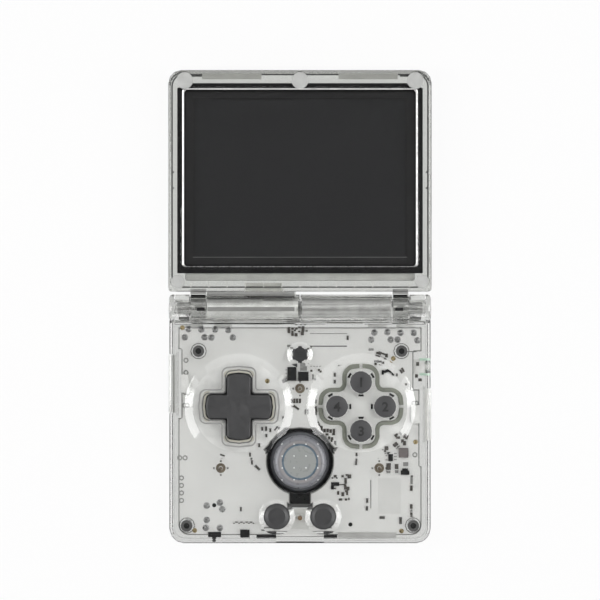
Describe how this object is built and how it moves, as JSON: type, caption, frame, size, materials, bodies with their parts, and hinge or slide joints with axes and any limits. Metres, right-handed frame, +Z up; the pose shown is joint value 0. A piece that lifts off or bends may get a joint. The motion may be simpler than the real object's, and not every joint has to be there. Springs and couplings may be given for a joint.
{
  "type": "clamshell handheld game console",
  "caption": "Folding handheld game console with a see-through shell, display lid, direction pad, round buttons and a thumb stick, opened flat.",
  "frame": {"origin": "under the middle of the opened console, on the surface it lies on", "axes": "+Z up out of the key side, +Y from the keys towards the opened lid, +X to the right of someone who holds it with the lid at the top"},
  "size_m": [0.0874, 0.1572, 0.0199],
  "materials": {
    "clear_shell": "glossy see-through polycarbonate",
    "board": "white solder mask",
    "key_grey": "satin dark grey",
    "button_grey": "satin grey",
    "side_key": "satin grey",
    "membrane": "matte cream rubber",
    "stick_rubber": "satin grey-blue rubber",
    "black_plastic": "matte black",
    "steel": "plain stamped steel",
    "lens": "clear cover glass with a dark border",
    "panel": "dark display panel, switched off",
    "gasket": "black foam tape",
    "pad": "soft translucent rubber",
    "battery_wrap": "grey foil wrap",
    "flex": "amber polyimide film",
    "light_guide": "brown tinted light guide"
  },
  "bodies": {
    "base": {"base_front_shell": "clear_shell", "base_rear_shell": "clear_shell", "hinge_cap_left": "clear_shell", "hinge_cap_right": "clear_shell", "main_board": "board", "dpad_membrane": "membrane", "face_button_membrane": "membrane", "start_select_membrane": "membrane", "status_led_lens": "light_guide", "menu_switch": "black_plastic", "volume_switch": "black_plastic", "power_switch": "black_plastic", "switch_left_outer": "black_plastic", "switch_left_inner": "black_plastic", "switch_right_inner": "black_plastic", "switch_right_outer": "black_plastic", "stick_module_housing": "black_plastic", "battery": "battery_wrap", "processor_shield": "steel", "speaker": "black_plastic", "usb_c_port": "steel", "headphone_jack": "black_plastic", "card_slot": "steel", "display_flex_base": "flex"},
    "lid": {"lid_front_frame": "clear_shell", "lid_back_cover": "clear_shell", "display_glass": "lens", "lcd_panel": "panel", "display_gasket": "gasket", "lid_pad_top_left": "pad", "lid_pad_top_middle": "pad", "lid_pad_top_right": "pad", "lid_pad_low_left": "pad", "lid_pad_low_right": "pad", "hinge_unit_left": "steel", "hinge_unit_right": "steel", "display_flex_lid": "flex"},
    "face_button_top": {"face_button_top": "button_grey"},
    "face_button_right": {"face_button_right": "button_grey"},
    "face_button_bottom": {"face_button_bottom": "button_grey"},
    "face_button_left": {"face_button_left": "button_grey"},
    "button_select": {"button_select": "key_grey"},
    "button_start": {"button_start": "key_grey"},
    "menu_button": {"menu_button": "key_grey"},
    "shoulder_left_outer": {"shoulder_left_outer": "side_key"},
    "shoulder_left_inner": {"shoulder_left_inner": "side_key"},
    "shoulder_right_inner": {"shoulder_right_inner": "side_key"},
    "shoulder_right_outer": {"shoulder_right_outer": "side_key"},
    "power_button": {"power_button": "side_key"},
    "volume_rocker": {"volume_rocker": "side_key"},
    "dpad_pivot": {"dpad_pivot": "black_plastic"},
    "dpad": {"dpad": "key_grey"},
    "stick_yoke": {"stick_yoke": "steel"},
    "stick_pivot_block": {"stick_pivot_block": "black_plastic"},
    "stick": {"stick_cap": "stick_rubber", "stick_stem": "steel"}
  },
  "joints": [
    {"name": "lid_hinge", "type": "hinge", "parent": "base", "child": "lid", "pos_m": [0, -0.00052, 0.01535], "axis": [1, 0, 0], "range_deg": [0, 180]},
    {"name": "face_button_top_press", "type": "slide", "parent": "base", "child": "face_button_top", "axis": [0, 0, -1], "range_m": [0, 0.001], "stiffness_N_per_m": 300},
    {"name": "face_button_right_press", "type": "slide", "parent": "base", "child": "face_button_right", "axis": [0, 0, -1], "range_m": [0, 0.001], "stiffness_N_per_m": 300},
    {"name": "face_button_bottom_press", "type": "slide", "parent": "base", "child": "face_button_bottom", "axis": [0, 0, -1], "range_m": [0, 0.001], "stiffness_N_per_m": 300},
    {"name": "face_button_left_press", "type": "slide", "parent": "base", "child": "face_button_left", "axis": [0, 0, -1], "range_m": [0, 0.001], "stiffness_N_per_m": 300},
    {"name": "button_select_press", "type": "slide", "parent": "base", "child": "button_select", "axis": [0, 0, -1], "range_m": [0, 0.0006], "stiffness_N_per_m": 400},
    {"name": "button_start_press", "type": "slide", "parent": "base", "child": "button_start", "axis": [0, 0, -1], "range_m": [0, 0.0006], "stiffness_N_per_m": 400},
    {"name": "menu_button_press", "type": "slide", "parent": "base", "child": "menu_button", "axis": [0, 0, -1], "range_m": [0, 0.0005], "stiffness_N_per_m": 500},
    {"name": "shoulder_left_outer_press", "type": "slide", "parent": "base", "child": "shoulder_left_outer", "axis": [0, -1, 0], "range_m": [0, 0.0008], "stiffness_N_per_m": 400},
    {"name": "shoulder_left_inner_press", "type": "slide", "parent": "base", "child": "shoulder_left_inner", "axis": [0, -1, 0], "range_m": [0, 0.0008], "stiffness_N_per_m": 400},
    {"name": "shoulder_right_inner_press", "type": "slide", "parent": "base", "child": "shoulder_right_inner", "axis": [0, -1, 0], "range_m": [0, 0.0008], "stiffness_N_per_m": 400},
    {"name": "shoulder_right_outer_press", "type": "slide", "parent": "base", "child": "shoulder_right_outer", "axis": [0, -1, 0], "range_m": [0, 0.0008], "stiffness_N_per_m": 400},
    {"name": "power_button_press", "type": "slide", "parent": "base", "child": "power_button", "axis": [-1, 0, 0], "range_m": [0, 0.0006], "stiffness_N_per_m": 500},
    {"name": "volume_rocker_tilt", "type": "hinge", "parent": "base", "child": "volume_rocker", "pos_m": [-0.04265, -0.02562, 0.0113], "axis": [0, 0, 1], "range_deg": [-3.5, 3.5], "stiffness_Nm_per_rad": 0.03},
    {"name": "dpad_pivot_tilt", "type": "hinge", "parent": "base", "child": "dpad_pivot", "pos_m": [-0.0203, -0.03322, 0.0124], "axis": [1, 0, 0], "range_deg": [-4.2, 4.2], "stiffness_Nm_per_rad": 0.04},
    {"name": "dpad_tilt", "type": "hinge", "parent": "dpad_pivot", "child": "dpad", "pos_m": [-0.0203, -0.03322, 0.0124], "axis": [0, 1, 0], "range_deg": [-4.2, 4.2], "stiffness_Nm_per_rad": 0.04},
    {"name": "stick_tilt_forward", "type": "hinge", "parent": "base", "child": "stick_yoke", "pos_m": [0, -0.05162, 0.0073], "axis": [1, 0, 0], "range_deg": [-10, 10], "stiffness_Nm_per_rad": 0.03},
    {"name": "stick_tilt_sideways", "type": "hinge", "parent": "stick_yoke", "child": "stick_pivot_block", "pos_m": [0, -0.05162, 0.0073], "axis": [0, 1, 0], "range_deg": [-10, 10], "stiffness_Nm_per_rad": 0.03},
    {"name": "stick_click", "type": "slide", "parent": "stick_pivot_block", "child": "stick", "axis": [0, 0, -1], "range_m": [0, 0.0004], "stiffness_N_per_m": 800}
  ]
}
